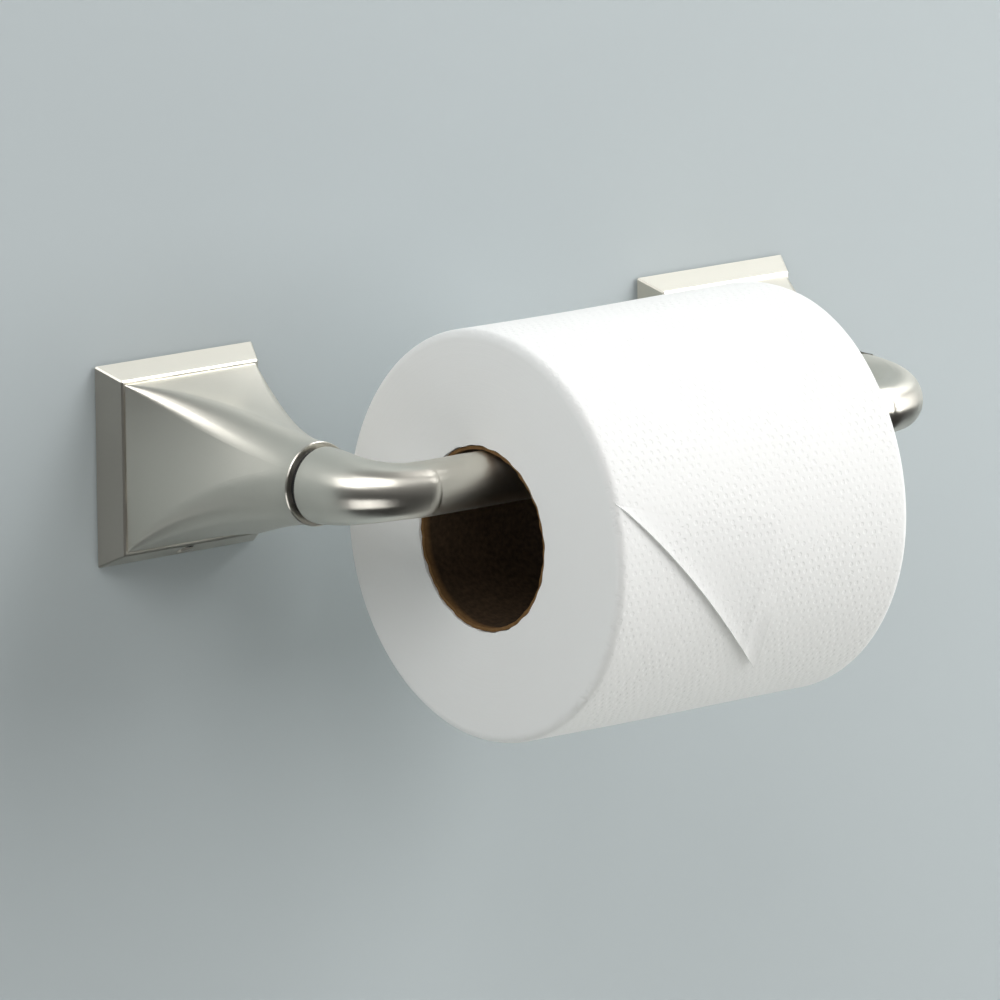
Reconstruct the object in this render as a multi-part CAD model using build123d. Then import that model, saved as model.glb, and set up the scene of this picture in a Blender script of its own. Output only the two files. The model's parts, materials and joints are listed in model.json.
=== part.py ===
from build123d import *
import math
import os

# A toilet paper holder with a swinging arm. Two cast posts screw to the wall. Each starts as a
# square plate and flares, with a slight twist, into a round nose. A U-shaped arm turns about the
# left nose and rests in a cradle in the right one, and the roll of paper hangs on it.
# Millimetres. X runs along the wall, +Y into the wall, +Z up. The origin is on the wall, midway
# between the two posts. "Out" is a distance from the wall, so out = -Y.

# Overall sizes
post_spacing = 203.2
rod_out = 88.0
rod_radius = 7.75

# Plate of each post
plate_side = 57.0
plate_thickness = 8.0
plate_slope_inset = 3.8
plate_edge_chamfer = 0.4
wall_step_depth = 0.8
wall_step_inset = 0.8

# Flare and nose of each post
ledge_width = 0.9
flare_end_out = 58.2
flare_curve = 1.34
flare_first_corner = 0.4
corner_growth = 0.94
flare_last_flat = 0.6
twist_per_mm = 0.55
flare_stations = 9
nose_radius = 11.85
nose_end_out = 62.4
nose_chamfer = 0.3

# Hollow inside each post
plate_wall = 10.0
pocket_depth = 12.0
cone_shoulder = 1.5
cone_end_radius = 8.6
cavity_end_out = 45.0

# Wall bracket and its set screw
bracket_clearance = 4.0
bracket_thickness = 9.0
bracket_bevel = 1.5
wall_hole_radius = 2.4
wall_hole_spacing = 20.0
countersink_radius = 4.4
set_screw_radius = 2.5
set_screw_out = 4.4
set_screw_socket = 2.5
set_screw_socket_depth = 3.0
set_screw_recess = 1.0

# Pivot in the left nose
seam_gap = 1.8
seam_washer_inset = 1.95
shoulder_radius = 3.0
running_clearance = 0.05
bushing_wall = 2.0
bushing_flange_radius = 7.6
bushing_flange = 1.5
spring_washer_thickness = 1.4
spring_washer_radius = 6.4
spring_washer_split = 1.2
thrust_washer_thickness = 1.2
thrust_washer_radius = 7.2
washer_bore_clearance = 0.3
screw_head_radius = 6.0
screw_head_height = 4.0
screw_socket = 4.0
screw_socket_depth = 2.5
thread_radius = 2.5
thread_length = 11.0
insert_wall = 1.2

# Stop pin of the arm, in a curved slot
swing_limit = 100.0
stop_slot_wall = 1.25
stop_pin_radius = 1.0
stop_clearance = 0.3
stop_slot_depth = 3.5
stop_pin_grip = 5.0
stop_rest_angle = -90.0

# Arm
arm_end_step = 1.11
arm_bend_radius = 16.3
arm_taper_length = 28.7
arm_end_chamfer = 0.3
bend_stations = 6

# Rest stub and cradle on the right
stub_radius = 5.5
stub_clearance = 0.3
stub_shank_radius = 4.0
stub_shank_length = 9.0
stub_reach = 12.2
stub_chamfer = 0.8
cradle_floor_gap = 1.5
liner_wall = 1.2
liner_flange_gap = 0.4
liner_top = 9.0

# Paper roll
roll_radius = 57.3
roll_length = 108.7
roll_left_face = 37.0
roll_edge_radius = 2.2
core_inner_radius = 25.0
core_wall = 1.0
core_setback = 0.5
core_hang_gap = 0.3
sheet_thickness = 0.6
sheet_tip_offset = 62.0
sheet_right_offset = 67.0
sheet_top_angle = 17.5
sheet_tip_angle = -41.9

left_x = -post_spacing / 2
right_x = post_spacing / 2
pocket_side = plate_side - 2 * plate_wall
cone_start_radius = pocket_side / 2 - cone_shoulder
bracket_side = pocket_side - bracket_clearance
seam_washer_radius = nose_radius - seam_washer_inset
arm_end_radius = nose_radius - arm_end_step
arm_start_out = nose_end_out + seam_gap
bend_start_out = rod_out - arm_bend_radius
lead_length = bend_start_out - arm_start_out
bushing_bore = shoulder_radius + running_clearance
bushing_radius = bushing_bore + bushing_wall
stop_circle_radius = bushing_radius + stop_slot_wall + stop_pin_radius + stop_clearance
bushing_flange_out = cavity_end_out - bushing_flange
spring_washer_out = bushing_flange_out - spring_washer_thickness
thrust_washer_out = spring_washer_out - thrust_washer_thickness
screw_head_out = thrust_washer_out - screw_head_height
cradle_radius = stub_radius + stub_clearance
cradle_slot_radius = cradle_radius + liner_wall
cradle_floor_out = arm_start_out - stub_reach - cradle_floor_gap
core_outer_radius = core_inner_radius + core_wall
roll_drop = core_inner_radius - rod_radius - core_hang_gap
roll_left_x = left_x + roll_left_face
roll_middle_x = roll_left_x + roll_length / 2


def wall_plane(out, x=0.0, z=0.0):
    """A plane parallel to the wall that faces the room: its own x and y run along X and Z."""
    return Plane(origin=(x, -out, z), x_dir=(1, 0, 0), z_dir=(0, -1, 0))


def bar(radius, start_out, end_out, x=0.0, z=0.0):
    """A round bar that points out of the wall."""
    return extrude(wall_plane(start_out, x, z) * Circle(radius), end_out - start_out)


def block(side, start_out, end_out):
    """A square bar that points out of the wall."""
    return extrude(wall_plane(start_out) * Rectangle(side, side), end_out - start_out)


def ends_toward_room(shape):
    """The edges of a shape's outermost flat end."""
    return shape.faces().sort_by(Axis.Y)[0].edges()


def flare_section(out):
    """The flare's outline at one distance out: a square that shrinks, turns and grows round."""
    grown = min(out, flare_end_out) - plate_thickness
    travel = grown / (flare_end_out - plate_thickness)
    first_half = plate_side / 2 - plate_slope_inset - ledge_width
    half = nose_radius + (first_half - nose_radius) * (1 - travel) ** flare_curve
    last_corner = half - flare_last_flat / 2
    corner = flare_first_corner + (last_corner - flare_first_corner) * travel**corner_growth
    turn = -twist_per_mm * grown
    return wall_plane(out) * Rot(0, 0, turn) * RectangleRounded(2 * half, 2 * half, corner)


def plate():
    """The square plate: a narrow step at the wall, then four sloping sides."""
    step_side = plate_side - 2 * wall_step_inset
    slope_height = plate_thickness - wall_step_depth
    slope = math.degrees(math.atan2(plate_slope_inset, slope_height))
    base = wall_plane(wall_step_depth) * Rectangle(plate_side, plate_side)
    cap = extrude(base, slope_height, taper=slope)
    back = cap.faces().sort_by(Axis.Y)[-1].edges()
    cap = chamfer([edge for edge in cap.edges() if edge not in back], plate_edge_chamfer)
    return block(step_side, 0, wall_step_depth) + cap


def post_body():
    """One post about its own axis: plate, flare and nose, hollow behind, open at the wall."""
    step = (flare_end_out - plate_thickness) / (flare_stations - 1)
    outs = [plate_thickness + step * i for i in range(flare_stations)] + [nose_end_out]
    flare = loft([flare_section(out) for out in outs])
    body = plate() + chamfer(ends_toward_room(flare), nose_chamfer)
    pocket = block(pocket_side, 0, pocket_depth)
    cone_wide = wall_plane(pocket_depth) * Circle(cone_start_radius)
    cone_narrow = wall_plane(cavity_end_out) * Circle(cone_end_radius)
    screw_way = Plane.XY.offset(-plate_side) * Pos(0, -set_screw_out) * Circle(set_screw_radius)
    return body - pocket - loft([cone_wide, cone_narrow]) - extrude(screw_way, plate_side)


def stop_slot(start_out, end_out):
    """The curved slot that the stop pin runs in."""
    margin = math.degrees(2 * stop_clearance / stop_circle_radius)
    arc = CenterArc((0, 0), stop_circle_radius, stop_rest_angle - margin, swing_limit + 2 * margin)
    slot = SlotArc(arc, 2 * (stop_pin_radius + stop_clearance))
    return extrude(wall_plane(start_out) * slot, end_out - start_out)


def upward_slot(radius, top, start_out, end_out):
    """A U-shaped bar: round below, straight sides above, as far up as top."""
    outline = Circle(radius) + Pos(0, top / 2) * Rectangle(2 * radius, top)
    return extrude(wall_plane(start_out) * outline, end_out - start_out)


def left_post():
    """The left post, bored for the pivot bushing and slotted for the stop pin."""
    body = post_body() - bar(bushing_radius, cavity_end_out, nose_end_out)
    return body - stop_slot(nose_end_out - stop_slot_depth, nose_end_out)


def right_post():
    """The right post, with a cradle cut down into its nose."""
    return post_body() - upward_slot(cradle_slot_radius, plate_side, cradle_floor_out, nose_end_out)


def wall_bracket():
    """The block that is screwed to the wall and that the post slips over."""
    middle_z = pocket_side / 2 - bracket_side / 2
    body = extrude(
        wall_plane(0, z=middle_z) * Rectangle(bracket_side, bracket_side), bracket_thickness
    )
    lower_back = body.edges().filter_by(Axis.X).group_by(Axis.Y)[-1].sort_by(Axis.Z)[0]
    body = chamfer(lower_back, bracket_bevel)
    for z in (-wall_hole_spacing / 2, wall_hole_spacing / 2):
        head_depth = countersink_radius - wall_hole_radius
        way = bar(wall_hole_radius, 0, bracket_thickness, z=z)
        sink_start = wall_plane(bracket_thickness - head_depth, z=z) * Circle(wall_hole_radius)
        sink_end = wall_plane(bracket_thickness, z=z) * Circle(countersink_radius)
        body = body - way - loft([sink_start, sink_end])
    return body


def set_screw():
    """The headless screw that holds the post on its bracket, turned from below."""
    plate_slope = plate_slope_inset / (plate_thickness - wall_step_depth)
    mouth = plate_side / 2 - plate_slope * (set_screw_out - wall_step_depth)
    low = -mouth + set_screw_recess
    high = pocket_side / 2 - bracket_side
    start = Plane.XY.offset(low) * Pos(0, -set_screw_out)
    shank = extrude(start * Circle(set_screw_radius), high - low)
    socket_radius = set_screw_socket / math.sqrt(3)
    return shank - extrude(start * RegularPolygon(socket_radius, 6), set_screw_socket_depth)


def pivot_bushing():
    """The flanged sleeve that the shoulder screw turns in."""
    sleeve = bar(bushing_radius, cavity_end_out, nose_end_out)
    flange = bar(bushing_flange_radius, bushing_flange_out, cavity_end_out)
    return sleeve + flange - bar(bushing_bore, bushing_flange_out, nose_end_out)


def seam_washer():
    """The dark washer in the seam between the left nose and the arm."""
    ring = bar(seam_washer_radius, nose_end_out, arm_start_out)
    return ring - bar(bushing_bore, nose_end_out, arm_start_out) - stop_slot(nose_end_out, arm_start_out)


def washer(radius, bore, start_out, thickness):
    """A flat ring on the pivot's axis."""
    end_out = start_out + thickness
    return bar(radius, start_out, end_out) - bar(bore, start_out, end_out)


def spring_washer():
    """The split ring that takes up end play in the pivot."""
    bore = shoulder_radius + washer_bore_clearance
    ring = washer(spring_washer_radius, bore, spring_washer_out, spring_washer_thickness)
    split = Pos(-spring_washer_radius, -spring_washer_out, 0) * Box(
        2 * spring_washer_radius, 4 * spring_washer_thickness, spring_washer_split
    )
    return ring - split


def thrust_washer():
    """The flat washer under the head of the shoulder screw."""
    return washer(thrust_washer_radius, shoulder_radius, thrust_washer_out, thrust_washer_thickness)


def pivot_screw():
    """The shoulder screw: head inside the post, thread in the arm."""
    head = bar(screw_head_radius, screw_head_out, thrust_washer_out)
    shoulder = bar(shoulder_radius, thrust_washer_out, arm_start_out)
    thread = bar(thread_radius, arm_start_out, arm_start_out + thread_length)
    socket = wall_plane(screw_head_out) * RegularPolygon(screw_socket / math.sqrt(3), 6)
    return head + shoulder + thread - extrude(socket, screw_socket_depth)


def thread_insert():
    """The threaded sleeve set into the arm for the shoulder screw."""
    insert_end = arm_start_out + thread_length
    outside = bar(thread_radius + insert_wall, arm_start_out, insert_end)
    return outside - bar(thread_radius, arm_start_out, insert_end)


def stop_pin():
    """The pin in the end of the arm that meets the ends of the curved slot."""
    angle = math.radians(stop_rest_angle)
    x, z = stop_circle_radius * math.cos(angle), stop_circle_radius * math.sin(angle)
    tip_out = nose_end_out - stop_slot_depth + 2 * stop_clearance
    return bar(stop_pin_radius, tip_out, arm_start_out + stop_pin_grip, x, z)


def arm_radius(path):
    """The arm's radius at a distance along its path from either end: thick end, even rod."""
    travel = min(path / arm_taper_length, 1.0)
    ease = travel * travel * (3 - 2 * travel)
    return arm_end_radius + (rod_radius - arm_end_radius) * ease


def arm_section(path, toward):
    """A round section of the arm, at a distance along its path, beside a post at x = 0."""
    angle = max(path - lead_length, 0) / arm_bend_radius
    x = toward * arm_bend_radius * (1 - math.cos(angle))
    out = arm_start_out + min(path, lead_length) + arm_bend_radius * math.sin(angle)
    direction = (toward * math.sin(angle), -math.cos(angle), 0)
    return Plane(origin=(x, -out, 0), x_dir=(0, 0, 1), z_dir=direction) * Circle(arm_radius(path))


def arm_elbow(toward):
    """One end of the arm: a short lead out of the post and a bend along the wall."""
    gap = arm_bend_radius * math.pi / 2 / bend_stations
    lead_stations = max(2, math.ceil(lead_length / gap))
    lead = [lead_length * i / lead_stations for i in range(lead_stations + 1)]
    bend = [lead_length + gap * i for i in range(1, bend_stations + 1)]
    elbow = loft([arm_section(path, toward) for path in lead + bend])
    seam_edge = elbow.faces().sort_by(Axis.Y)[-1].edges()
    return chamfer(seam_edge, arm_end_chamfer)


def arm():
    """The U-shaped arm, drilled for the insert, the stop pin and the rest stub."""
    rod_start, rod_end = left_x + arm_bend_radius, right_x - arm_bend_radius
    rod_plane = Plane(origin=(rod_start, -rod_out, 0), x_dir=(0, 0, 1), z_dir=(1, 0, 0))
    rod = extrude(rod_plane * Circle(rod_radius), rod_end - rod_start)
    body = Pos(left_x) * arm_elbow(1) + rod + Pos(right_x) * arm_elbow(-1)
    insert_end = arm_start_out + thread_length
    insert_hole = bar(thread_radius + insert_wall, arm_start_out, insert_end, left_x)
    stub_hole = bar(stub_shank_radius, arm_start_out, arm_start_out + stub_shank_length, right_x)
    return body - insert_hole - stub_hole - Pos(left_x) * stop_pin()


def rest_stub():
    """The plug in the arm's right end that lies in the cradle."""
    plug = bar(stub_radius, arm_start_out - stub_reach, arm_start_out)
    plug = chamfer(plug.faces().sort_by(Axis.Y)[-1].edges(), stub_chamfer)
    return plug + bar(stub_shank_radius, arm_start_out, arm_start_out + stub_shank_length)


def cradle_liner():
    """The soft lining of the cradle, with a flange that faces the end of the arm."""
    flange_end = arm_start_out - liner_flange_gap
    lining = upward_slot(cradle_slot_radius, liner_top, cradle_floor_out, nose_end_out)
    flange = bar(seam_washer_radius, nose_end_out, flange_end)
    seat = upward_slot(cradle_radius, plate_side, cradle_floor_out, flange_end)
    return lining + flange - seat


def roll_ring(outer, inner, length):
    """A hollow cylinder along X, about the roll's own axis."""
    plane = Plane(origin=(roll_middle_x - length / 2, -rod_out, -roll_drop), x_dir=(0, 1, 0), z_dir=(1, 0, 0))
    return extrude(plane * Circle(outer), length) - extrude(plane * Circle(inner), length)


def paper_roll():
    """The wound paper, with softened outer edges."""
    ring = roll_ring(roll_radius, core_outer_radius, roll_length)
    rims = ring.edges().filter_by(GeomType.CIRCLE).group_by(SortBy.RADIUS)[-1]
    return fillet(rims, roll_edge_radius)


def cardboard_core():
    """The cardboard tube in the paper."""
    return roll_ring(core_outer_radius, core_inner_radius, roll_length - 2 * core_setback)


def around_roll(x, angle, radius):
    """A place on the roll: angle is measured up from straight out of the wall."""
    up = math.radians(angle)
    return (x, -rod_out - radius * math.cos(up), -roll_drop + radius * math.sin(up))


def loose_sheet():
    """The folded point of the last sheet, lying on the front of the roll."""
    reach = roll_radius + sheet_thickness
    sleeve = roll_ring(reach, roll_radius, roll_length)
    middle = (sheet_top_angle + sheet_tip_angle) / 2
    tilt = math.radians(middle)
    facing = Plane(
        origin=around_roll(0, middle, reach + 1),
        x_dir=(1, 0, 0),
        z_dir=(0, math.cos(tilt), -math.sin(tilt)),
    )
    corners = [
        around_roll(roll_left_x + roll_edge_radius, sheet_top_angle, reach),
        around_roll(roll_left_x + sheet_tip_offset, sheet_tip_angle, reach),
        around_roll(roll_left_x + sheet_right_offset, sheet_top_angle, reach),
    ]
    seen = [facing.to_local_coords(Vector(*corner)) for corner in corners]
    outline = Polyline([(point.X, point.Y) for point in seen], close=True)
    return sleeve & extrude(facing * make_face(outline), roll_radius)


nodes = {
    "left_post": Pos(left_x) * left_post(),
    "right_post": Pos(right_x) * right_post(),
    "left_wall_bracket": Pos(left_x) * wall_bracket(),
    "right_wall_bracket": Pos(right_x) * wall_bracket(),
    "left_set_screw": Pos(left_x) * set_screw(),
    "right_set_screw": Pos(right_x) * set_screw(),
    "pivot_bushing": Pos(left_x) * pivot_bushing(),
    "seam_washer": Pos(left_x) * seam_washer(),
    "spring_washer": Pos(left_x) * spring_washer(),
    "cradle_liner": Pos(right_x) * cradle_liner(),
    "arm": arm(),
    "pivot_screw": Pos(left_x) * pivot_screw(),
    "thrust_washer": Pos(left_x) * thrust_washer(),
    "thread_insert": Pos(left_x) * thread_insert(),
    "stop_pin": Pos(left_x) * stop_pin(),
    "rest_stub": Pos(right_x) * rest_stub(),
    "paper_roll": paper_roll(),
    "cardboard_core": cardboard_core(),
    "loose_sheet": loose_sheet(),
}

os.makedirs("parts", exist_ok=True)
for name, shape in nodes.items():
    solids = shape.solids()
    export_step(solids[0] if len(solids) == 1 else Compound(solids), f"parts/{name}.step")
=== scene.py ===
"""Looks for a wall-mounted toilet paper holder: satin nickel posts and swinging arm, a paper roll,
its cardboard core and the folded end of the last sheet, in front of a painted wall."""

import json
import math

import bmesh
import bpy
from mathutils import Matrix, Vector


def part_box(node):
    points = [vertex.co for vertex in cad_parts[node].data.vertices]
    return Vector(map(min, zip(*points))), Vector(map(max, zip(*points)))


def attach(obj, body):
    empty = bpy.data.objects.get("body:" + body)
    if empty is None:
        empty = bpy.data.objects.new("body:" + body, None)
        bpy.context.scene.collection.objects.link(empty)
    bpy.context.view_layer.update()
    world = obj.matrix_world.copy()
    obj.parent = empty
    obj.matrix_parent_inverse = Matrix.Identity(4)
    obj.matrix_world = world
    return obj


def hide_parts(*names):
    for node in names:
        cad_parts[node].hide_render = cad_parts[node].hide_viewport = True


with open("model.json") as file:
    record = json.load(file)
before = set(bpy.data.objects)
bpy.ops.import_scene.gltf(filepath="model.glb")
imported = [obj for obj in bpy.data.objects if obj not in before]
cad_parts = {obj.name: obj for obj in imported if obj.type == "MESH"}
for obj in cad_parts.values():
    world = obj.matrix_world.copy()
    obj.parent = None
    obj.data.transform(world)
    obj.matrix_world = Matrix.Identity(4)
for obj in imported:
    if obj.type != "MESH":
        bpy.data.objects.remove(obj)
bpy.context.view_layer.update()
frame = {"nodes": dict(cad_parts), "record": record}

bl_info = {
    "name": "Toilet Paper Holder",
    "version": (1, 0, 0),
    "blender": (4, 5, 0),
    "location": "View3D > Sidebar > Holder",
    "description": "Finishes for a swinging-arm toilet paper holder, and its paper roll",
    "category": "Object",
}

MM = 0.001
MOUNTS = {mount["name"]: mount for mount in frame["record"]["mounts"]}

# Places read from the frame, in metres.
LEFT_AXIS_X = sum(corner.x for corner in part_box("left_post")) / 2
RIGHT_AXIS_X = -LEFT_AXIS_X
PLATE_HALF = (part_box("left_post")[1].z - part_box("left_post")[0].z) / 2
ROD_RADIUS = MOUNTS["roll_seat"]["dims"]["r_mm"] * MM
ROD_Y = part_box("arm")[0].y + ROD_RADIUS
ROLL_LOW, ROLL_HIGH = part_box("paper_roll")
ROLL_MIDDLE = (ROLL_LOW + ROLL_HIGH) / 2
ROLL_RADIUS = (ROLL_HIGH.z - ROLL_LOW.z) / 2
ROLL_LENGTH = ROLL_HIGH.x - ROLL_LOW.x
CORE_LOW, CORE_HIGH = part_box("cardboard_core")
CORE_RADIUS = (CORE_HIGH.z - CORE_LOW.z) / 2
SHEET_RIGHT_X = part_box("loose_sheet")[1].x

# Metal: how fast the brush lines change across the brushing, per metre, and how satin it is.
BRUSH_DRIFT = 18.0
ANISOTROPY = 0.7
POST_ROUGHNESS = 0.34
ARM_ROUGHNESS = 0.3
POST_BRUSH_DEPTH = 0.045 * MM
ARM_BRUSH_DEPTH = 0.0015 * MM
BRUSH_GLOSS_SPREAD = 0.02
GRAIN_GLOSS_SPREAD = 0.06

# Most of a noise pattern's values lie between these.
NOISE_LOW, NOISE_HIGH = 0.3, 0.7

# How many of each a metre holds: tufts of fibre 0.7 mm apart, fluff 1.1 mm, flecks 1.4 mm,
# marks of a paint roller 2.9 mm, and patches that are pressed harder 18 mm.
FIBRES_PER_METRE = 1400.0
FLUFF_PER_METRE = 900.0
FLECKS_PER_METRE = 700.0
ROLLER_MARKS_PER_METRE = 350.0
PRESS_PATCHES_PER_METRE = 55.0

# Paper: the pressed dots stand in rings, and the light goes about 2 mm into the tissue.
ROSETTE_PITCHES = 4.6
ROSETTE_BEADS = 6.0
SCATTER_DEPTH = (2 * MM, 2 * MM, 2 * MM)
# Layers are about 0.12 mm apart, too fine to show, so they are drawn five times as coarse.
LAYER_PITCH = 0.6 * MM
SPIRAL_LEAD = 75 * MM
CORE_WALL = 1.0 * MM

# The roll: its facets, and the height on it where it is fullest.
ROLL_SIDES = 288
ROLL_CUTS = 23
ROLL_BEVELS = 6
CORE_SIDES = 160
CORE_CUTS = 9
FULL_ANGLE = math.radians(65)
RIM_BAND = 0.5 * MM

# The folded sheet: its facets, the height of its upper end, and its spread to the right rim.
SHEET_ACROSS = 90
SHEET_DOWN = 90
SHEET_TOP_ANGLE = math.radians(34)
SHEET_FLARE = 5 * MM
SHEET_GAP = 0.1 * MM
SHEET_SUNK = -0.8 * MM

# The stage, in metres.
WALL_SIZE = 6.0
WALL_GAP = 0.05 * MM
WALL_OPENING_HALF = PLATE_HALF - 2.5 * MM
FLOOR_Z = -0.66
LIT_POINT = Vector((0, -0.05, 0))
SENSOR_WIDTH = 36.0
CAMERA_AZIMUTH = math.radians(-41.393)
CAMERA_ELEVATION = math.radians(11.036)
CAMERA_ROLL = math.radians(-0.587)
CAMERA_DISTANCE = 3.16875
CAMERA_TARGET = Vector((LEFT_AXIS_X + 0.12156, 0, -0.02979))


def linear(hex_colour):
    """A colour written as sRGB hex, such as "C8C4B8", as linear red, green, blue and alpha."""
    parts = [int(hex_colour[i : i + 2], 16) / 255 for i in (0, 2, 4)]
    return [p / 12.92 if p <= 0.04045 else ((p + 0.055) / 1.055) ** 2.4 for p in parts] + [1.0]


def colour_property(name, description, hex_colour):
    """A colour that a user can change, with its default as sRGB hex."""
    return bpy.props.FloatVectorProperty(
        name=name,
        description=description,
        subtype="COLOR",
        size=4,
        min=0.0,
        max=1.0,
        default=linear(hex_colour),
    )


def power_property(name, description, watts):
    """The power of a light that a user can change, in watts."""
    return bpy.props.FloatProperty(
        name=name, description=description, subtype="POWER", unit="POWER", min=0.0, default=watts
    )


def length_property(name, description, millimetres):
    """A length that a user can change, with its default in millimetres."""
    return bpy.props.FloatProperty(
        name=name,
        description=description,
        subtype="DISTANCE",
        unit="LENGTH",
        precision=5,
        min=0.0,
        default=millimetres * MM,
    )


def angle_property(name, description, degrees):
    """An angle that a user can change, with its default in degrees."""
    return bpy.props.FloatProperty(
        name=name, description=description, subtype="ANGLE", default=math.radians(degrees)
    )


class HOLDER_PG_metal(bpy.types.PropertyGroup):
    """Sizes and colours of the metal finishes and of the nylon pieces."""

    nickel: colour_property("Nickel", "Satin nickel plating of the posts and the arm", "E2DED3")
    bracket: colour_property("Bracket", "Bare cast zinc of the wall brackets", "9C9D9A")
    black_steel: colour_property("Black steel", "Blackened steel of the screws", "3A3B3D")
    bright_steel: colour_property("Bright steel", "Plated washers, pin and spring", "B4B4B0")
    bronze: colour_property("Bronze", "Sintered bronze of the pivot bushing", "B08A55")
    brass: colour_property("Brass", "Turned brass of the threaded insert", "C9A75C")
    nylon: colour_property("Nylon", "Black nylon of the seam washer and cradle liner", "17161A")
    groove: length_property("Brush line", "Spacing of the brush lines on the nickel", 0.28)
    bend_radius: length_property("Bend radius", "Radius of the arm's centreline in bends", 16.3)


class HOLDER_PG_paper(bpy.types.PropertyGroup):
    """Sizes and colours of the roll, its core and the folded sheet."""

    tissue: colour_property("Tissue", "White bleached tissue", "EFEFED")
    # This colour is painted shade: it is near-black to stand for the shade inside the tube, not for
    # the brown of the board.
    board_painted_shade: colour_property("Board", "Shaded inside of the brown board core", "150F0A")
    board_edge: colour_property("Board edge", "Paler raw ends of the core", "7A5A34")
    emboss_pitch: length_property("Emboss pitch", "Distance between the pressed dots", 2.6)
    emboss_depth: length_property("Emboss depth", "Depth of the pressed dots", 0.16)
    rim_softness: length_property("Rim softness", "Rounding of the roll's outer rims", 2.6)
    sheet_thickness: length_property("Fold thickness", "Thickness of the folded sheet", 0.35)
    fold_lift: length_property("Fold lift", "How far the folded edge stands off the roll", 0.9)
    fold_left_angle: angle_property("Fold start", "Height where the fold meets the left rim", 17.5)
    fold_tip_angle: angle_property("Fold tip", "Height on the roll of the folded point", -41.9)


class HOLDER_PG_stage(bpy.types.PropertyGroup):
    """Light, wall and camera."""

    wall: colour_property("Wall", "Painted wall", "B6BEC0")
    floor: colour_property("Floor", "Pale floor", "D8D8D4")
    key_power: power_property("Key light", "Soft box at the upper right, in front", 21.0)
    right_power: power_property("Right light", "Box at the right, level with the holder", 3.0)
    top_power: power_property("Top light", "Box near the wall at the upper right", 8.0)
    sky_power: power_property("Upper left light", "Large box at the upper left", 7.0)
    left_power: power_property("Left light", "Large box at the left, near the wall", 6.5)
    low_power: power_property("Low light", "Large weak box low on the left", 4.8)
    lens: bpy.props.FloatProperty(
        name="Lens", description="Focal length of the camera in millimetres", default=396.93
    )


# --- Materials ------------------------------------------------------------------------------


def add_node(tree, kind, inputs=(), **settings):
    """Add one node with its settings and links.

    Its inputs are given in order, or by place or name. Each is a value, the socket that feeds
    it, or a node whose first output does."""
    node = tree.nodes.new("ShaderNode" + kind)
    for key, value in settings.items():
        setattr(node, key, value)
    pairs = inputs.items() if isinstance(inputs, dict) else enumerate(inputs)
    for socket, value in pairs:
        source = value.outputs[0] if isinstance(value, bpy.types.Node) else value
        if isinstance(source, bpy.types.NodeSocket):
            tree.links.new(source, node.inputs[socket])
        else:
            node.inputs[socket].default_value = source
    return node


def start_material(name, surface):
    """A new material with its principled shader, whose sockets are set from surface."""
    material = bpy.data.materials.new(name)
    material.use_nodes = True
    tree = material.node_tree
    tree.nodes.clear()
    shader = add_node(tree, "BsdfPrincipled", surface)
    add_node(tree, "OutputMaterial", {"Surface": shader})
    return material, tree, shader


def feed(tree, shader, **sources):
    """Link nodes to the shader's inputs of the same names."""
    for socket, node in sources.items():
        tree.links.new(node.outputs[0], shader.inputs[socket])


def object_place(tree):
    """The surface point in the object's own coordinates, whole and as its x, y and z."""
    place = add_node(tree, "TexCoord").outputs["Object"]
    return place, *add_node(tree, "SeparateXYZ", (place,)).outputs


def brush_finish(tree, shader, along, across, groove, tangent, roughness, depth):
    """Fine brushed lines: noise that changes fast along the path and slowly across it."""
    fast = add_node(tree, "Math", (along, 1 / groove), operation="MULTIPLY")
    slow = [add_node(tree, "Math", (way, BRUSH_DRIFT), operation="MULTIPLY") for way in across]
    lines = add_node(tree, "CombineXYZ", (fast, *slow))
    streaks = add_node(
        tree, "TexNoise", {"Vector": lines, "Scale": 1.0, "Detail": 3.0, "Roughness": 0.6}
    )
    glossy, dull = roughness - BRUSH_GLOSS_SPREAD, roughness + BRUSH_GLOSS_SPREAD
    gloss = add_node(tree, "MapRange", (streaks, NOISE_LOW, NOISE_HIGH, glossy, dull))
    bump = add_node(tree, "Bump", {"Height": streaks, "Distance": depth, "Strength": 0.35})
    world_tangent = add_node(
        tree,
        "VectorTransform",
        (tangent,),
        vector_type="VECTOR",
        convert_from="OBJECT",
        convert_to="WORLD",
    )
    feed(tree, shader, Roughness=gloss, Normal=bump, Tangent=world_tangent)


def post_nickel(metal):
    """Satin nickel plate over cast zinc, brushed around the post on a belt.

    The lines run round the post, so highlights stretch along it, towards the wall."""
    surface = {"Base Color": metal.nickel, "Metallic": 1.0, "Anisotropic": ANISOTROPY}
    material, tree, shader = start_material("satin_nickel_post", surface)
    _, x, y, z = object_place(tree)
    axis = add_node(tree, "CombineXYZ", {1: 1.0})
    brush_finish(tree, shader, y, (x, z), metal.groove, axis, POST_ROUGHNESS, POST_BRUSH_DEPTH)
    return material


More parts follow.
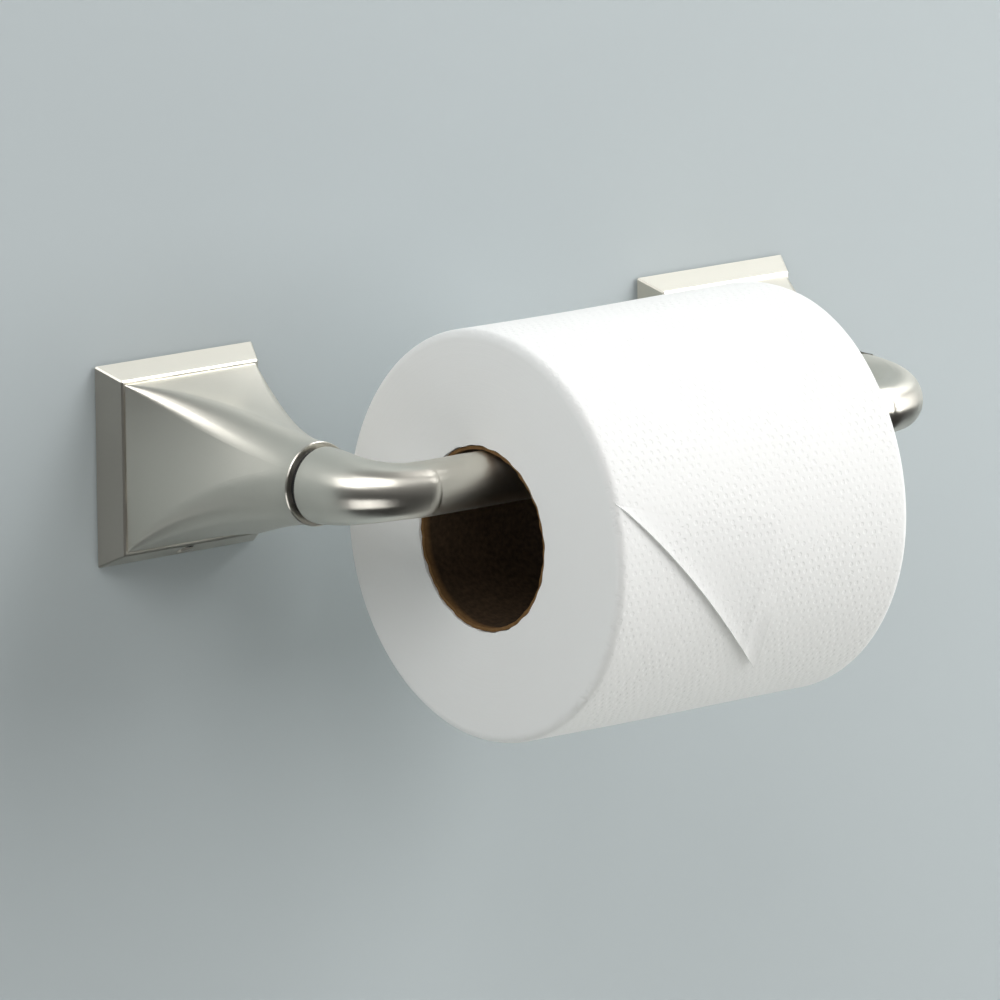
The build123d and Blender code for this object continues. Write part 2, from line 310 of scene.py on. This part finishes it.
def arm_nickel(metal):
    """Satin nickel plate on the bent arm, brushed around its section all along its path.

    The lines go round the bar, so highlights run along it and through the bends."""
    surface = {"Base Color": metal.nickel, "Metallic": 1.0, "Anisotropic": ANISOTROPY}
    material, tree, shader = start_material("satin_nickel_arm", surface)
    _, x, y, z = object_place(tree)
    bend_x = RIGHT_AXIS_X - metal.bend_radius
    bend_y = ROD_Y + metal.bend_radius
    side = add_node(tree, "Math", (x,), operation="SIGN")
    mirrored_x = add_node(tree, "Math", (x,), operation="ABSOLUTE")
    beyond_x, beyond_y, behind_y = (
        add_node(
            tree,
            "Math",
            (add_node(tree, "Math", ends, operation="SUBTRACT"), 0.0),
            operation="MAXIMUM",
        )
        for ends in ((mirrored_x, bend_x), (bend_y, y), (y, bend_y))
    )
    turn = add_node(tree, "Math", (beyond_x, beyond_y), operation="ARCTAN2")
    rod = add_node(tree, "Math", (mirrored_x, bend_x), operation="MINIMUM")
    bent = add_node(tree, "Math", (turn, metal.bend_radius, rod), operation="MULTIPLY_ADD")
    along = add_node(tree, "Math", (bent, behind_y), operation="ADD")
    outward = add_node(tree, "Math", (beyond_y, side), operation="MULTIPLY")
    tangent = add_node(tree, "CombineXYZ", (outward, beyond_x))
    brush_finish(tree, shader, along, (y, z), metal.groove, tangent, ARM_ROUGHNESS, ARM_BRUSH_DEPTH)
    return material


def grainy_material(name, colour, metallic, roughness, grain, depth, spread=0.12):
    """A plain colour with the fine grain that its making left, in colour, gloss and relief."""
    material, tree, shader = start_material(name, {"Metallic": metallic})
    place = object_place(tree)[0]
    speckle = add_node(tree, "TexNoise", {"Vector": place, "Scale": 1 / grain, "Detail": 4.0})
    darker = [c * (1 - spread) for c in colour[:3]] + [1.0]
    mixed = add_node(tree, "Mix", {0: speckle, 6: darker, 7: colour}, data_type="RGBA")
    tree.links.new(mixed.outputs[2], shader.inputs["Base Color"])
    glossy, dull = roughness - GRAIN_GLOSS_SPREAD, roughness + GRAIN_GLOSS_SPREAD
    gloss = add_node(tree, "MapRange", (speckle, NOISE_LOW, NOISE_HIGH, glossy, dull))
    bump = add_node(tree, "Bump", {"Height": speckle, "Distance": depth, "Strength": 0.6})
    feed(tree, shader, Roughness=gloss, Normal=bump)
    return material


def roll_turn(tree, y, z):
    """The angle round the roll's axis, measured up from straight out of the wall."""
    up = add_node(tree, "Math", (z, ROLL_MIDDLE.z), operation="SUBTRACT")
    out = add_node(tree, "Math", (ROLL_MIDDLE.y, y), operation="SUBTRACT")
    return add_node(tree, "Math", (up, out), operation="ARCTAN2")


def tissue_material(paper):
    """Soft bleached tissue, pressed with small dots between two rollers.

    It is matt and bright, and light that grazes it picks out the dots and loose fibres."""
    surface = {
        "Base Color": paper.tissue,
        "Roughness": 0.95,
        "Specular IOR Level": 0.1,
        "Sheen Weight": 0.15,
        "Sheen Roughness": 0.6,
        "Subsurface Weight": 0.12,
        "Subsurface Radius": SCATTER_DEPTH,
        "Subsurface Scale": 1.0,
    }
    material, tree, shader = start_material("embossed_tissue", surface)
    _, x, y, z = object_place(tree)
    around = add_node(tree, "Math", (roll_turn(tree, y, z), ROLL_RADIUS), operation="MULTIPLY")
    # Length along the roll and length around it, flat like the paper itself.
    flat = add_node(tree, "CombineXYZ", (x, around))
    cell = add_node(
        tree,
        "TexVoronoi",
        {"Vector": flat, "Scale": 1 / (ROSETTE_PITCHES * paper.emboss_pitch), "Randomness": 0.35},
        voronoi_dimensions="2D",
        feature="F1",
    )
    # Dots in rings about each cell's middle, six more in each ring out.
    centre = add_node(tree, "VectorMath", (flat, cell.outputs["Position"]), operation="SUBTRACT")
    off = add_node(tree, "SeparateXYZ", (centre,)).outputs
    radius = add_node(tree, "VectorMath", (centre,), operation="LENGTH").outputs["Value"]
    ring = add_node(tree, "Math", (radius, paper.emboss_pitch), operation="DIVIDE")
    nearest = add_node(tree, "Math", (ring,), operation="ROUND")
    count = add_node(tree, "Math", (nearest, ROSETTE_BEADS), operation="MULTIPLY")
    turn = add_node(tree, "Math", (off[1], off[0]), operation="ARCTAN2")
    phases = ((turn, count), (ring, 2 * math.pi))
    waves = [add_node(tree, "Math", phase, operation="MULTIPLY") for phase in phases]
    beads, bands = (add_node(tree, "Math", (wave,), operation="COSINE") for wave in waves)
    dots = add_node(tree, "Math", (beads, bands), operation="ADD")
    dimple = add_node(
        tree, "MapRange", (dots, 0.5, 1.7, 1.0, 0.0), interpolation_type="SMOOTHSTEP"
    )
    # Pressed harder in some patches than in others.
    patches = add_node(
        tree, "TexNoise", {"Vector": flat, "Scale": PRESS_PATCHES_PER_METRE, "Detail": 2.0}
    )
    strength = add_node(tree, "MapRange", (patches, 0.35, 0.65, 0.3, 1.0))
    pressed = add_node(tree, "Math", (dimple, strength), operation="MULTIPLY")
    fibres = add_node(tree, "TexNoise", {"Vector": flat, "Scale": FIBRES_PER_METRE, "Detail": 5.0})
    relief = add_node(tree, "Math", (fibres, 0.35, pressed), operation="MULTIPLY_ADD")
    bump = add_node(
        tree, "Bump", {"Height": relief, "Distance": paper.emboss_depth, "Strength": 0.75}
    )
    feed(tree, shader, Normal=bump)
    return material


def cut_tissue_material(paper):
    """The sawn ends of the wound tissue: hundreds of layers, so a faint ringed softness."""
    surface = {
        "Base Color": paper.tissue,
        "Roughness": 1.0,
        "Specular IOR Level": 0.05,
        "Subsurface Weight": 0.12,
        "Subsurface Radius": SCATTER_DEPTH,
        "Subsurface Scale": 1.0,
    }
    material, tree, shader = start_material("cut_tissue_ends", surface)
    place, _, y, z = object_place(tree)
    up = add_node(tree, "Math", (z, ROLL_MIDDLE.z), operation="SUBTRACT")
    out = add_node(tree, "Math", (y, ROLL_MIDDLE.y), operation="SUBTRACT")
    out_squared = add_node(tree, "Math", (out, out), operation="MULTIPLY")
    squared = add_node(tree, "Math", (up, up, out_squared), operation="MULTIPLY_ADD")
    radius = add_node(tree, "Math", (squared,), operation="SQRT")
    layer = add_node(tree, "Math", (radius, 1 / LAYER_PITCH), operation="MULTIPLY")
    drift = add_node(tree, "Math", (up, 30.0), operation="MULTIPLY")
    rings = add_node(tree, "CombineXYZ", (layer, drift))
    layers = add_node(tree, "TexNoise", {"Vector": rings, "Scale": 1.0, "Detail": 2.0})
    fluff = add_node(tree, "TexNoise", {"Vector": place, "Scale": FLUFF_PER_METRE, "Detail": 4.0})
    relief = add_node(tree, "Math", (fluff, 0.6, layers), operation="MULTIPLY_ADD")
    bump = add_node(tree, "Bump", {"Height": relief, "Distance": 0.12 * MM, "Strength": 0.3})
    feed(tree, shader, Normal=bump)
    return material


def board_material(paper):
    """Brown recycled board wound in a spiral: dull, flecked, with one overlap seam going round.
    Away from its ends it is darkened nearly to black, as painted shade inside the tube.
    """
    surface = {"Roughness": 0.9, "Specular IOR Level": 0.15}
    material, tree, shader = start_material("spiral_board", surface)
    place, x, y, z = object_place(tree)
    flecks = add_node(tree, "TexNoise", {"Vector": place, "Scale": FLECKS_PER_METRE, "Detail": 5.0})
    from_ends = [
        add_node(tree, "Math", ends, operation="SUBTRACT")
        for ends in ((x, CORE_LOW.x), (CORE_HIGH.x, x))
    ]
    from_end = add_node(tree, "Math", from_ends, operation="MINIMUM")
    # Raw and pale, in the board's own brown, for the first few millimetres from its ends. Further
    # in, the near-black colour is painted shade inside the tube.
    inside = add_node(
        tree, "MapRange", (from_end, 0.6 * MM, 3 * MM), interpolation_type="SMOOTHSTEP"
    )
    colours = {0: inside, 6: paper.board_edge, 7: paper.board_painted_shade}
    mixed = add_node(tree, "Mix", colours, data_type="RGBA").outputs[2]
    pale, dark = (
        add_node(tree, "Mix", {0: share, 6: mixed, 7: linear(tint)}, data_type="RGBA").outputs[2]
        for share, tint in ((0.25, "A08060"), (0.4, "000000"))
    )
    flecked = add_node(tree, "Mix", {0: flecks, 6: dark, 7: pale}, data_type="RGBA")
    tree.links.new(flecked.outputs[2], shader.inputs["Base Color"])
    lead = (roll_turn(tree, y, z), SPIRAL_LEAD / (2 * math.pi))
    climb = add_node(tree, "Math", lead, operation="MULTIPLY")
    travel = add_node(tree, "Math", (climb, x), operation="ADD")
    wound = add_node(tree, "Math", (travel, SPIRAL_LEAD), operation="DIVIDE")
    share = add_node(tree, "Math", (wound,), operation="FRACT")
    overlap = add_node(tree, "Math", (share, 0.97), operation="GREATER_THAN")
    seam = add_node(tree, "Math", (overlap, 0.8), operation="MULTIPLY")
    rough = add_node(tree, "Math", (flecks, 0.4), operation="MULTIPLY")
    relief = add_node(tree, "Math", (rough, seam), operation="ADD")
    bump = add_node(tree, "Bump", {"Height": relief, "Distance": 0.2 * MM, "Strength": 0.5})
    feed(tree, shader, Normal=bump)
    return material


def room_paint(name, colour):
    """Flat emulsion paint put on with a roller, which leaves it matt and very faintly pebbled.

    It is seen from the room only: from behind it is clear, so the back can be seen."""
    surface = {"Base Color": colour, "Roughness": 0.75, "Specular IOR Level": 0.25}
    material, tree, shader = start_material(name, surface)
    place = object_place(tree)[0]
    roller = add_node(
        tree, "TexNoise", {"Vector": place, "Scale": ROLLER_MARKS_PER_METRE, "Detail": 3.0}
    )
    bump = add_node(tree, "Bump", {"Height": roller, "Distance": 0.1 * MM, "Strength": 0.15})
    feed(tree, shader, Normal=bump)
    behind = add_node(tree, "NewGeometry").outputs["Backfacing"]
    clear = add_node(tree, "BsdfTransparent")
    seen = add_node(tree, "MixShader", (behind, shader, clear))
    output = next(node for node in tree.nodes if node.type == "OUTPUT_MATERIAL")
    tree.links.new(seen.outputs[0], output.inputs["Surface"])
    return material


# --- Modelling ------------------------------------------------------------------------------


def deselect_all():
    """Nothing selected, and out of edit mode, so that an operator acts only on what comes next."""
    if bpy.context.object and bpy.context.object.mode != "OBJECT":
        bpy.ops.object.mode_set(mode="OBJECT")
    bpy.ops.object.select_all(action="DESELECT")


def edit_chosen(piece, kind, chosen):
    """Go into edit mode with only the faces or edges that chosen accepts selected."""
    bpy.ops.object.mode_set(mode="EDIT")
    bpy.ops.mesh.select_mode(type=kind)
    bpy.ops.mesh.select_all(action="DESELECT")
    mesh = bmesh.from_edit_mesh(piece.data)
    for element in mesh.faces if kind == "FACE" else mesh.edges:
        element.select_set(chosen(element))
    bmesh.update_edit_mesh(piece.data)


def place_in_mesh():
    """Put the new piece's place and turn into its mesh, so that its object sits at the origin."""
    bpy.ops.object.mode_set(mode="OBJECT")
    bpy.ops.object.transform_apply(location=True, rotation=True, scale=True)


def give_material(piece, *materials):
    """Put these materials in the piece's slots, in order."""
    piece.data.materials.clear()
    for material in materials:
        piece.data.materials.append(material)


def tube_along_x(name, middle, outer, inner, length, sides, cuts):
    """A closed tube along X: a cylinder whose ends are inset and joined through."""
    deselect_all()
    bpy.ops.mesh.primitive_cylinder_add(
        vertices=sides, radius=outer, depth=length, location=middle, rotation=(0, math.pi / 2, 0)
    )
    piece = bpy.context.object
    piece.name = name
    place_in_mesh()
    edit_chosen(piece, "FACE", lambda face: abs(face.normal.x) > 0.9)
    bpy.ops.mesh.inset(thickness=outer - inner, use_individual=True, depth=0)
    bpy.ops.mesh.bridge_edge_loops()

    def runs_along(edge):
        return abs(edge.verts[0].co.x - edge.verts[1].co.x) > length / 2

    edit_chosen(piece, "EDGE", runs_along)
    bpy.ops.mesh.subdivide(number_cuts=cuts)
    bpy.ops.object.mode_set(mode="OBJECT")
    return piece


def from_roll_axis(point):
    """How far a point is from the roll's axis."""
    return math.hypot(point.y - ROLL_MIDDLE.y, point.z - ROLL_MIDDLE.z)


def smooth(share):
    """A share from 0 to 1, eased at both ends."""
    share = min(max(share, 0.0), 1.0)
    return share * share * (3 - 2 * share)


def on_roll(x, angle, radius):
    """A point at a height angle round the roll, measured up from straight out of the wall."""
    y = ROLL_MIDDLE.y - radius * math.cos(angle)
    return Vector((x, y, ROLL_MIDDLE.z + radius * math.sin(angle)))


# --- Operators ------------------------------------------------------------------------------


class HOLDER_OT_nickel(bpy.types.Operator):
    """Give the posts, the arm and its stub their satin nickel finish"""

    bl_idname = "holder.nickel"
    bl_label = "Nickel plating"

    def execute(self, context):
        metal = context.scene.holder_metal
        post, arm = post_nickel(metal), arm_nickel(metal)
        for name in ("left_post", "right_post"):
            give_material(frame["nodes"][name], post)
        for name in ("arm", "rest_stub"):
            give_material(frame["nodes"][name], arm)
        return {"FINISHED"}


class HOLDER_OT_hardware(bpy.types.Operator):
    """Give the brackets, screws, washers, bushing and liner their own finishes"""

    bl_idname = "holder.hardware"
    bl_label = "Hidden hardware"

    def execute(self, context):
        metal = context.scene.holder_metal
        # Cast zinc keeps the fine sandy skin of its mould.
        zinc = grainy_material("cast_zinc", metal.bracket, 1.0, 0.5, 0.4 * MM, 0.04 * MM)
        # Black oxide is a thin dark skin on turned steel, low in gloss.
        black = grainy_material(
            "black_oxide_steel", metal.black_steel, 1.0, 0.4, 0.3 * MM, 0.01 * MM
        )
        # Zinc-plated steel is pale and fairly bright, with the faint marks of its turning.
        bright = grainy_material(
            "plated_steel", metal.bright_steel, 1.0, 0.25, 0.3 * MM, 0.01 * MM
        )
        # Sintered bronze is porous, so it looks speckled and dull.
        bronze = grainy_material(
            "sintered_bronze", metal.bronze, 1.0, 0.45, 0.15 * MM, 0.03 * MM, 0.3
        )
        # Turned brass is smooth and bright.
        brass = grainy_material("turned_brass", metal.brass, 1.0, 0.25, 0.3 * MM, 0.01 * MM)
        # Moulded nylon is a waxy plastic, black right through.
        nylon = grainy_material("black_nylon", metal.nylon, 0.0, 0.55, 0.3 * MM, 0.02 * MM)
        finishes = {
            zinc: ("left_wall_bracket", "right_wall_bracket"),
            black: ("left_set_screw", "right_set_screw", "pivot_screw"),
            bright: ("spring_washer", "thrust_washer", "stop_pin"),
            bronze: ("pivot_bushing",),
            brass: ("thread_insert",),
            nylon: ("seam_washer", "cradle_liner"),
        }
        for material, names in finishes.items():
            for name in names:
                give_material(frame["nodes"][name], material)
        return {"FINISHED"}


class HOLDER_OT_paper_roll(bpy.types.Operator):
    """Model the wound roll with soft rims and a slightly ragged hole"""

    bl_idname = "holder.paper_roll"
    bl_label = "Paper roll"

    def execute(self, context):
        paper = context.scene.holder_paper
        piece = tube_along_x(
            "wound_roll",
            ROLL_MIDDLE,
            ROLL_RADIUS,
            CORE_RADIUS,
            ROLL_LENGTH,
            ROLL_SIDES,
            ROLL_CUTS,
        )
        ends = (ROLL_LOW.x, ROLL_HIGH.x)

        def on_outer_rim(edge):
            at_end = any(all(abs(v.co.x - x) < 0.1 * MM for v in edge.verts) for x in ends)
            return at_end and all(from_roll_axis(v.co) > ROLL_RADIUS * 0.98 for v in edge.verts)

        edit_chosen(piece, "EDGE", on_outer_rim)
        bpy.ops.mesh.bevel(offset=paper.rim_softness, segments=ROLL_BEVELS, affect="EDGES")
        bpy.ops.object.mode_set(mode="OBJECT")
        for vertex in piece.data.vertices:
            self.loosen(vertex)
        bpy.ops.object.shade_smooth_by_angle(angle=math.radians(40))
        give_material(piece, tissue_material(paper), cut_tissue_material(paper))
        for face in piece.data.polygons:
            face.material_index = 1 if abs(face.normal.x) > 0.97 else 0
        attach(piece, "roll")
        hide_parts("paper_roll")
        return {"FINISHED"}

    def loosen(self, vertex):
        """Wound by a machine, handled by people: slightly oval, fuller at its far top, and nicked
        round the hole. The changes of radius are in millimetres."""
        away = from_roll_axis(vertex.co)
        angle = math.atan2(vertex.co.z - ROLL_MIDDLE.z, ROLL_MIDDLE.y - vertex.co.y)
        along = (vertex.co.x - ROLL_LOW.x) / ROLL_LENGTH
        if away > ROLL_RADIUS * 0.9:
            x = vertex.co.x
            sway = math.sin(3 * angle + 40 * x) + math.sin(5 * angle - 70 * x)
            oval = max(math.sin(angle), 0) ** 2
            near_top = math.exp(-(((angle - FULL_ANGLE) / 0.5) ** 2))
            full = smooth((along - 0.35) / 0.65) * near_top
            change = 0.12 + 0.07 * sway + 0.9 * oval + 1.3 * full
        elif min(along, 1 - along) * ROLL_LENGTH < RIM_BAND:
            change = 0.2 + 0.22 * math.sin(23 * angle) * math.sin(7 * angle + 1.0)
        else:
            change = 0.0
        scale = (away + change * MM) / away
        vertex.co.y = ROLL_MIDDLE.y + (vertex.co.y - ROLL_MIDDLE.y) * scale
        vertex.co.z = ROLL_MIDDLE.z + (vertex.co.z - ROLL_MIDDLE.z) * scale


class HOLDER_OT_core(bpy.types.Operator):
    """Model the board tube with its torn ends"""

    bl_idname = "holder.core"
    bl_label = "Cardboard core"

    def execute(self, context):
        paper = context.scene.holder_paper
        length = CORE_HIGH.x - CORE_LOW.x
        middle = (CORE_LOW + CORE_HIGH) / 2
        outer = CORE_RADIUS - 0.05 * MM
        inner = CORE_RADIUS - CORE_WALL
        piece = tube_along_x("board_core", middle, outer, inner, length, CORE_SIDES, CORE_CUTS)
        for vertex in piece.data.vertices:
            angle = math.atan2(vertex.co.z - middle.z, middle.y - vertex.co.y)
            ragged = 0.25 * math.sin(17 * angle) * math.sin(5 * angle) + 0.12 * math.sin(41 * angle)
            share = (vertex.co.x - middle.x) / (length / 2)
            vertex.co.x -= ragged * MM * share**9
        bpy.ops.object.shade_smooth_by_angle(angle=math.radians(40))
        give_material(piece, board_material(paper))
        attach(piece, "roll")
        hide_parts("cardboard_core")
        return {"FINISHED"}


class HOLDER_OT_loose_sheet(bpy.types.Operator):
    """Model the end of the last sheet, folded from both sides to a point on the roll's front"""

    bl_idname = "holder.loose_sheet"
    bl_label = "Folded sheet"

    def execute(self, context):
        paper = context.scene.holder_paper
        deselect_all()
        bpy.ops.mesh.primitive_grid_add(
            x_subdivisions=SHEET_ACROSS, y_subdivisions=SHEET_DOWN, size=2
        )
        piece = bpy.context.object
        piece.name = "folded_sheet"
        for vertex in piece.data.vertices:
            across, up = (vertex.co.x + 1) / 2, (vertex.co.y + 1) / 2
            vertex.co = self.point(paper, across, up)
        edit_chosen(piece, "FACE", lambda face: True)
        bpy.ops.mesh.remove_doubles(threshold=0.02 * MM)
        bpy.ops.mesh.normals_make_consistent(inside=False)
        bpy.ops.object.mode_set(mode="OBJECT")
        solid = piece.modifiers.new("thickness", "SOLIDIFY")
        solid.thickness = paper.sheet_thickness
        solid.offset = -1.0 if self.faces_out(piece) else 1.0
        bpy.ops.object.modifier_apply(modifier=solid.name)
        bpy.ops.object.shade_smooth_by_angle(angle=math.radians(50))
        give_material(piece, bpy.data.materials["embossed_tissue"])
        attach(piece, "roll")
        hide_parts("loose_sheet")
        # Flat, it is as wide as the roll, and as long as the fold is measured round the roll.
        return {"FINISHED"}

    def faces_out(self, piece):
        """Whether the sheet's faces point away from the roll."""
        face = piece.data.polygons[len(piece.data.polygons) // 2]
        away = face.center - Vector((face.center.x, ROLL_MIDDLE.y, ROLL_MIDDLE.z))
        return face.normal.dot(away) > 0

    def point(self, paper, across, up):
        """The sheet's outer face. Its lower left edge is a sharp fold from the left rim to the
        point, its right edge a soft crease up from the point, and its top lies in the roll."""
        # Climb is 0 at the point of the fold and 1 where the fold meets the left rim.
        tip = paper.fold_tip_angle
        angle = tip + (SHEET_TOP_ANGLE - tip) * up**1.1
        climb = (angle - tip) / (paper.fold_left_angle - tip)
        tip_x = SHEET_RIGHT_X - SHEET_FLARE
        rim_x = ROLL_LOW.x + 0.4 * paper.rim_softness
        left = tip_x + (rim_x - tip_x) * min(climb, 1.0)
        bow = math.sin(math.pi * min(climb / 0.58, 1.0))
        flare = SHEET_FLARE * smooth((climb - 0.45) / 0.5)
        right = tip_x - 2.5 * MM * bow + flare + 0.2 * MM
        x = left + (right - left) * across
        # Heights above the roll: of the fold, of the crease, and of the sheet between them.
        rim_share = math.sin(math.pi * min(0.12 + 0.86 * climb, 1.0)) ** 0.7
        fold = paper.sheet_thickness + SHEET_GAP + paper.fold_lift * rim_share
        fold += (SHEET_SUNK - fold) * smooth((climb - 0.95) / 0.1)
        crease_lift = paper.fold_lift * 0.7 * math.exp(-climb / 0.25)
        crease = paper.sheet_thickness + SHEET_GAP + crease_lift
        crease += (SHEET_SUNK - crease) * smooth((climb - 0.3) / 0.3)
        body = (paper.sheet_thickness * 0.6) * (1 - smooth((climb - 0.8) / 0.35))
        body += SHEET_SUNK * smooth((climb - 0.8) / 0.35)
        height = body + (fold - body) * math.exp(-(x - left) / (4.5 * MM))
        height += (crease - body) * math.exp(-(right - x) / (3.0 * MM))
        # A low ridge runs beside the crease, and fades away up the roll.
        beside = math.exp(-(((right - 7 * MM - x) / (1.8 * MM)) ** 2))
        ridge = 0.35 * MM * math.exp(-climb / 0.4) * beside
        return on_roll(x, angle, ROLL_RADIUS + height + ridge)


class HOLDER_OT_stage(bpy.types.Operator):
    """Build the painted wall, the floor, the soft lights and the camera"""

    bl_idname = "holder.stage"
    bl_label = "Wall, lights and camera"

    def execute(self, context):
        stage = context.scene.holder_stage
        self.wall(stage)
        self.floor(stage)
        self.lights(stage)
        self.world()
        self.camera(stage)
        context.scene.view_settings.view_transform = "Standard"
        return {"FINISHED"}

    def plane(self, name, location, rotation=(0, 0, 0)):
        """A large square plane, for the wall or the floor."""
        deselect_all()
        bpy.ops.mesh.primitive_plane_add(size=WALL_SIZE, location=location, rotation=rotation)
        bpy.context.object.name = name
        place_in_mesh()
        return bpy.context.object

    def wall(self, stage):
        """A large wall with an opening hidden behind each post, so the backs can be seen."""
        wall = self.plane("wall", (0, WALL_GAP, 0), (math.pi / 2, 0, 0))
        half = WALL_OPENING_HALF
        bpy.ops.object.mode_set(mode="EDIT")
        middles = (LEFT_AXIS_X, RIGHT_AXIS_X)
        cuts = [((x + side * half, 0, 0), (1, 0, 0)) for x in middles for side in (-1, 1)]
        cuts += [((0, 0, side * half), (0, 0, 1)) for side in (-1, 1)]
        for point, normal in cuts:
            bpy.ops.mesh.select_all(action="SELECT")
            bpy.ops.mesh.bisect(plane_co=point, plane_no=normal)

        def behind_plate(face):
            middle = face.calc_center_median()
            beside = min(abs(middle.x - x) for x in middles)
            return beside < half and abs(middle.z) < half

        edit_chosen(wall, "FACE", behind_plate)
        bpy.ops.mesh.delete(type="FACE")
        bpy.ops.object.mode_set(mode="OBJECT")
        give_material(wall, room_paint("wall_paint", stage.wall))

    def floor(self, stage):
        """A pale floor far below the holder."""
        floor = self.plane("floor", (0, WALL_GAP - WALL_SIZE / 2, FLOOR_Z))
        give_material(floor, room_paint("pale_floor", stage.floor))
        # Kept out of reflections, as by a black flag under the holder.
        floor.visible_glossy = False

    def lights(self, stage):
        """A key from the upper right, and large soft boxes that fill from the other sides."""
        # Name, place, width and height, and power.
        for name, place, size, power in (
            ("key", (1.2, -1.2, 0.55), (0.9, 1.7), stage.key_power),
            ("right", (1.4, -0.75, 0.15), (0.8, 0.8), stage.right_power),
            ("top", (0.95, -0.4, 1.05), (0.9, 0.9), stage.top_power),
            ("sky", (-0.8, -0.9, 1.2), (0.9, 0.9), stage.sky_power),
            ("left", (-1.35, -0.45, 0.95), (0.8, 0.8), stage.left_power),
            ("low", (-1.1, -0.8, -0.9), (0.9, 0.9), stage.low_power),
        ):
            deselect_all()
            turn = (LIT_POINT - Vector(place)).to_track_quat("-Z", "Y").to_euler()
            bpy.ops.object.light_add(type="AREA", location=place, rotation=turn)
            light = bpy.context.object
            light.name = name
            light.data.shape = "RECTANGLE"
            light.data.size, light.data.size_y = size
            light.data.energy = power

    def world(self):
        """A dim white surround, paler above and darker below."""
        world = bpy.data.worlds.new("studio")
        bpy.context.scene.world = world
        world.use_nodes = True
        tree = world.node_tree
        place = add_node(tree, "TexCoord").outputs["Generated"]
        height = add_node(tree, "SeparateXYZ", (place,)).outputs[2]
        strength = add_node(tree, "MapRange", (height, -0.35, 0.5, 0.03, 0.2))
        background = tree.nodes["Background"]
        background.inputs["Color"].default_value = (1.0, 1.0, 1.0, 1.0)
        feed(tree, background, Strength=strength)

    def camera(self, stage):
        """A long lens from the left and a little above, turned very slightly."""
        deselect_all()
        back = Vector(
            (
                math.sin(CAMERA_AZIMUTH) * math.cos(CAMERA_ELEVATION),
                -math.cos(CAMERA_AZIMUTH) * math.cos(CAMERA_ELEVATION),
                math.sin(CAMERA_ELEVATION),
            )
        )
        level = Vector((math.cos(CAMERA_AZIMUTH), math.sin(CAMERA_AZIMUTH), 0))
        upright = back.cross(level)
        right = level * math.cos(CAMERA_ROLL) + upright * math.sin(CAMERA_ROLL)
        up = upright * math.cos(CAMERA_ROLL) - level * math.sin(CAMERA_ROLL)
        turn = Matrix((right, up, back)).transposed().to_4x4()
        bpy.ops.object.camera_add()
        camera = bpy.context.object
        camera.name = "camera"
        camera.matrix_world = Matrix.Translation(CAMERA_TARGET + back * CAMERA_DISTANCE) @ turn
        camera.data.lens = stage.lens
        camera.data.sensor_width = SENSOR_WIDTH
        camera.data.clip_start, camera.data.clip_end = 0.1, 30.0
        bpy.context.scene.camera = camera


class HOLDER_PT_panel(bpy.types.Panel):
    """The holder's settings and steps, in order"""

    bl_idname = "HOLDER_PT_panel"
    bl_label = "Toilet Paper Holder"
    bl_space_type = "VIEW_3D"
    bl_region_type = "UI"
    bl_category = "Holder"

    def draw(self, context):
        scene = context.scene
        for settings, steps in (
            (scene.holder_metal, (HOLDER_OT_nickel, HOLDER_OT_hardware)),
            (scene.holder_paper, (HOLDER_OT_paper_roll, HOLDER_OT_core, HOLDER_OT_loose_sheet)),
            (scene.holder_stage, (HOLDER_OT_stage,)),
        ):
            box = self.layout.box()
            for name in settings.bl_rna.properties.keys():
                if name not in ("rna_type", "name"):
                    box.prop(settings, name)
            for step in steps:
                box.operator(step.bl_idname)


GROUPS = {
    "holder_metal": HOLDER_PG_metal,
    "holder_paper": HOLDER_PG_paper,
    "holder_stage": HOLDER_PG_stage,
}
CLASSES = (
    *GROUPS.values(),
    HOLDER_OT_nickel,
    HOLDER_OT_hardware,
    HOLDER_OT_paper_roll,
    HOLDER_OT_core,
    HOLDER_OT_loose_sheet,
    HOLDER_OT_stage,
    HOLDER_PT_panel,
)


def register():
    for listed in CLASSES:
        bpy.utils.register_class(listed)
    for name, group in GROUPS.items():
        setattr(bpy.types.Scene, name, bpy.props.PointerProperty(type=group))


def unregister():
    for name in GROUPS:
        delattr(bpy.types.Scene, name)
    for listed in reversed(CLASSES):
        bpy.utils.unregister_class(listed)


def main():
    register()
    bpy.ops.holder.nickel()
    bpy.ops.holder.hardware()
    bpy.ops.holder.paper_roll()
    bpy.ops.holder.core()
    bpy.ops.holder.loose_sheet()
    bpy.ops.holder.stage()


if __name__ == "__main__":
    main()
